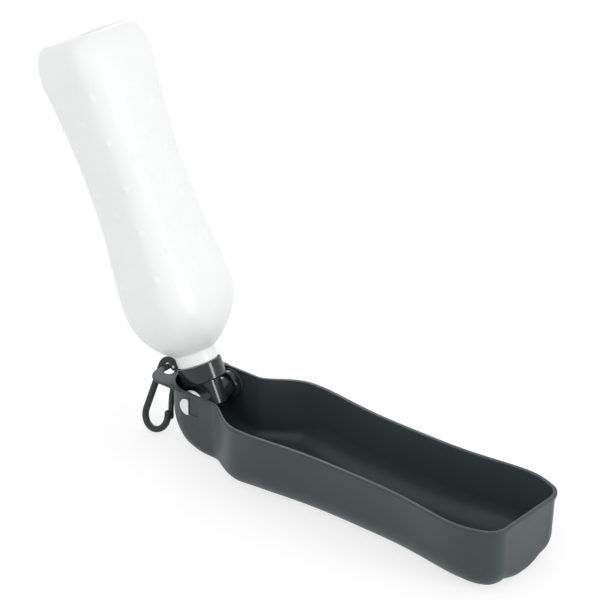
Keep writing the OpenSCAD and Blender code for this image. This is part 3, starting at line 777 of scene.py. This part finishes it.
# A loose collar in the gloss plastic fills the far side, between the barrel's end and the pad.
far_ring = turned_ring("far_collar_skin", rounded(
    [(spool_r + run_gap, collar_y - collar_w), (far_collar_r, collar_y - collar_w), (far_collar_r, collar_y),
     (spool_r + run_gap, collar_y)], [0.2, 1.2, 0.3, 0.2]), across, 128)
dress(far_ring, gloss, "trough", "cap", "far_collar")

rubber = plastic("seal rubber", (0.016, 0.016, 0.017), (0.03, 0.03, 0.03), 0.62, 0.05, 900.0, 0.00002)
silicone = plastic("gasket silicone", (0.55, 0.56, 0.55), (0.62, 0.62, 0.60), 0.5, 0.05, 900.0, 0.00001)
for node, material in (("valve_o_rings", rubber), ("cap_gasket", silicone)):
    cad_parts[node].data.materials.clear()
    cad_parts[node].data.materials.append(material)

# ---------------------------------------------------------------- snap hook
# A small carabiner moulded in dark plastic: a flat strand of rounded section bent into a loop, with
# a sprung gate that turns on a steel pin in the top bend and laps the nose from behind.
strand_w, strand_t, hook_top_r, hook_rest, hook_low_r = 4.0, 3.4, 5.6, 1.95, 9.3
hook_drop, hook_out, hook_nose, hook_side = 31.1, 0.5, 5.7, 1.0
gate_w, gate_t, pin_r, eye_r, lap_gap, ground_gap = 3.2, 2.8, 0.9, 2.4, 0.3, 0.5
bar_z = rim_h - flange_t / 2
body_y, gate_y = -(strand_t + lap_gap) / 2, (gate_t + lap_gap) / 2
hook_reach = hook_rest + hook_drop + hook_low_r + strand_w / 2
hook_tilt = (math.acos((bar_z - ground_gap) / math.hypot(hook_reach, body_y))
             - math.atan(-body_y / hook_reach))
eye_turn = 25
eye_a = math.radians(eye_turn)
eye = np.array([hook_top_r * math.cos(eye_a), hook_top_r * math.sin(eye_a)])
low = np.array([-hook_out, -hook_drop])
leg_a = 180 + math.degrees(math.atan(hook_out / hook_drop)
                           - math.asin((hook_low_r - hook_top_r) / math.hypot(*low)))


def hanging(points):
    """points drawn from the hook's top bend, turned to where the hook leans at rest"""
    p = np.asarray(points, float)
    y, z = p[:, 1], p[:, 2] - hook_rest
    c, s = math.cos(hook_tilt), math.sin(hook_tilt)
    return np.column_stack([p[:, 0] + bar_x, y * c + z * s - hook_side, z * c - y * s + bar_z])


def smooth_route(route, step):
    """the same route in short even steps, its corners rounded"""
    r = np.asarray(route, float)
    run = np.concatenate([[0], np.cumsum(np.linalg.norm(np.diff(r, axis=0), axis=1))])
    at = np.linspace(0, run[-1], int(run[-1] / step) + 2)
    fine = np.column_stack([np.interp(at, run, r[:, 0]), np.interp(at, run, r[:, 1])])
    for _ in range(12):
        fine[1:-1] = (fine[:-2] + 2 * fine[1:-1] + fine[2:]) / 4
    return fine


def strand(name, route, w, t, y, section=28):
    line = smooth_route(route, 0.5)
    turn = np.linspace(0, 2 * math.pi, section, endpoint=False)
    across_w = np.sign(np.cos(turn)) * np.abs(np.cos(turn)) ** 0.55
    across_t = np.sign(np.sin(turn)) * np.abs(np.sin(turn)) ** 0.55
    run = np.gradient(line, axis=0)
    run /= np.linalg.norm(run, axis=1)[:, None]
    ends = [0.45, 0.75, 0.92]
    rings = []
    for i, (q, d) in enumerate(zip(line, run)):
        size = min(1.0, (ends + [1.0])[min(i, 3)], (ends + [1.0])[min(len(line) - 1 - i, 3)])
        side = np.array([-d[1], d[0]])
        rings.append(np.column_stack([q[0] + side[0] * w / 2 * across_w * size, y + t / 2 * across_t * size,
                                      q[1] + side[1] * w / 2 * across_w * size]))
    return new_object(name, hanging(np.concatenate(rings)) * MM, skin_faces(len(rings), section))


def eye_disc(name, r, y, t, edge=0.0, steps=64):
    turn = np.linspace(0, 2 * math.pi, steps, endpoint=False)
    profile = [(r - edge, y - t / 2), (r, y - t / 2 + edge), (r, y + t / 2 - edge), (r - edge, y + t / 2)]
    points = [(eye[0] + pr * math.cos(a), py, eye[1] + pr * math.sin(a)) for pr, py in profile for a in turn]
    return new_object(name, hanging(points) * MM, skin_faces(4, steps))


top_bend = [tuple(hook_top_r * np.array([math.cos(a), math.sin(a)]))
            for a in np.radians(np.arange(eye_turn, leg_a, 5))]
low_bend = [tuple(low + hook_low_r * np.array([math.cos(a), math.sin(a)]))
            for a in np.radians(np.arange(leg_a, 360, 5))]
nose = [tuple(low + [hook_low_r, 0]), tuple(low + [hook_low_r - 0.4, hook_nose / 2]),
        tuple(low + [hook_low_r - 1.0, hook_nose])]
satin = plastic("hook nylon", (0.022, 0.026, 0.028), (0.032, 0.036, 0.038), 0.36, 0.05, 1500.0, 0.00002,
                fixed=(("Specular IOR Level", 0.34),))
steel = plastic("bright steel", (0.55, 0.55, 0.56), (0.62, 0.62, 0.63), 0.25, 0.06, 1800.0, 0.000004,
                fixed=(("Metallic", 1.0),))
hook = strand("hook_strand", top_bend + low_bend + nose, strand_w, strand_t, body_y)
cut_or_join(hook, [eye_disc("eye", eye_r, body_y, strand_t, 0.4)], "UNION")
cut_or_join(hook, [eye_disc("eye_hole", pin_r + 0.01, 0, 30)], "DIFFERENCE")
dress(hook, satin, "hook", "hook", "hook_body")

foot = low + [hook_low_r + 0.2, 0]
bend = np.array([hook_top_r - 1, -3.0])
knee = np.array([hook_top_r - 0.9, -0.4 * hook_drop])
splay = [(mix(knee[0], foot[0], t ** 1.5), mix(knee[1], foot[1], t)) for t in np.linspace(0.1, 1, 10)]
gate_route = [tuple(eye + [0.2, 0]), tuple(bend), tuple(mix(bend, knee, 0.5)), tuple(knee)] + splay
gate = strand("gate_strand", gate_route, gate_w, gate_t, gate_y)
cut_or_join(gate, [eye_disc("gate_eye", eye_r, gate_y, gate_t, 0.35)], "UNION")
cut_or_join(gate, [eye_disc("gate_hole", pin_r + run_gap, 0, 30),
                   eye_disc("spring_room", pin_r + 0.65, 0.9 - 0.01, 1.5)], "DIFFERENCE")
dress(gate, satin, "gate", "hook", "hook_gate")
for node in ("gate_pin", "gate_spring"):
    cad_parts[node].data.materials.clear()
    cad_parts[node].data.materials.append(steel)

# ---------------------------------------------------------------- studio
# A white sweep under soft light, and the camera at the photograph's angle.
floor_mesh = bpy.data.meshes.new("floor")
floor_half, floor_z = 6, -0.0002
floor_corners = [(floor_half * x, floor_half * y, floor_z) for x, y in ((-1, -1), (1, -1), (1, 1), (-1, 1))]
floor_mesh.from_pydata(floor_corners, [], [(0, 1, 2, 3)])
floor = bpy.data.objects.new("floor", floor_mesh)
bpy.context.scene.collection.objects.link(floor)


def seen_rays(nodes, links):
    path = nodes.new("ShaderNodeLightPath")
    first = nodes.new("ShaderNodeMath")
    first.operation = "MAXIMUM"
    both = nodes.new("ShaderNodeMath")
    both.operation = "MAXIMUM"
    links.new(path.outputs["Is Camera Ray"], first.inputs[0])
    links.new(path.outputs["Is Glossy Ray"], first.inputs[1])
    links.new(first.outputs[0], both.inputs[0])
    links.new(path.outputs["Is Transmission Ray"], both.inputs[1])
    return both.outputs[0]


sweep = bpy.data.materials.new("white sweep")
sweep.use_nodes = True
nodes, links = sweep.node_tree.nodes, sweep.node_tree.links
nodes.clear()
output = nodes.new("ShaderNodeOutputMaterial")
plain = nodes.new("ShaderNodeBsdfDiffuse")
plain.inputs["Color"].default_value = (0.8, 0.8, 0.8, 1)
shaded = nodes.new("ShaderNodeBsdfDiffuse")
shaded.inputs["Color"].default_value = (0.30, 0.30, 0.30, 1)
glow = nodes.new("ShaderNodeEmission")
glow.inputs["Strength"].default_value = 0.72
seen = nodes.new("ShaderNodeAddShader")
choose = nodes.new("ShaderNodeMixShader")
links.new(shaded.outputs[0], seen.inputs[0])
links.new(glow.outputs[0], seen.inputs[1])
links.new(seen_rays(nodes, links), choose.inputs[0])
links.new(plain.outputs[0], choose.inputs[1])
links.new(seen.outputs[0], choose.inputs[2])
links.new(choose.outputs[0], output.inputs[0])
floor.data.materials.append(sweep)

world = bpy.data.worlds.new("studio")
bpy.context.scene.world = world
world.use_nodes = True
nodes, links = world.node_tree.nodes, world.node_tree.links
backdrop = nodes["Background"]
sky = nodes.new("ShaderNodeMix")
sky.data_type = "RGBA"
sky.inputs["A"].default_value = (0.82, 0.82, 0.82, 1)
sky.inputs["B"].default_value = (1, 1, 1, 1)
path = nodes.new("ShaderNodeLightPath")
links.new(path.outputs["Is Camera Ray"], sky.inputs["Factor"])
links.new(sky.outputs["Result"], backdrop.inputs["Color"])


def soft_lamp(name, place, aim, width, height, watts):
    lamp = bpy.data.lights.new(name, "AREA")
    lamp.shape = "RECTANGLE"
    lamp.size = width
    lamp.size_y = height
    lamp.energy = watts
    obj = bpy.data.objects.new(name, lamp)
    bpy.context.scene.collection.objects.link(obj)
    back = np.array(place, float) - np.array(aim, float)
    back /= np.linalg.norm(back)
    right = np.cross([0, 0, 1], back)
    right /= np.linalg.norm(right)
    up = np.cross(back, right)
    turn = np.column_stack([right, up, back]).tolist()
    obj.matrix_world = Matrix([[*row, p] for row, p in zip(turn, place)] + [[0, 0, 0, 1]])
    obj.visible_camera = False
    return obj


soft_lamp("front", (0.2, -1.5, 1.1), (0.05, 0, 0.1), 1.2, 0.9, 5.0)
soft_lamp("top", (0.35, 0.35, 1.7), (0.1, 0, 0.05), 1.2, 1.0, 1.5)
strip = soft_lamp("strip", (1.0, 0.2, 0.28), (0, 0, 0.05), 0.22, 0.42, 3.0)
strip.data.diffuse_factor = 0.15
soft_lamp("back", (-0.75, 0.85, 0.62), (-0.03, 0, 0.04), 0.5, 0.35, 2.0)

camera = bpy.data.cameras.new("camera")
camera.lens = 150.0
camera.sensor_width = 36.0
camera.sensor_fit = "HORIZONTAL"
camera.clip_start = 0.05
eye_point = bpy.data.objects.new("camera", camera)
bpy.context.scene.collection.objects.link(eye_point)
az, el = math.radians(40.27), math.radians(26.78)
right = (math.cos(az), math.sin(az), 0)
up = (-math.sin(az) * math.sin(el), math.cos(az) * math.sin(el), math.cos(el))
back = (math.sin(az) * math.cos(el), -math.cos(az) * math.cos(el), math.sin(el))
camera_place = (0.9286, -1.00895, 0.7888)
eye_point.matrix_world = Matrix([[right[k], up[k], back[k], camera_place[k]] for k in range(3)]
                                + [[0, 0, 0, 1]])
bpy.context.scene.camera = eye_point
bpy.context.scene.view_settings.view_transform = "Standard"
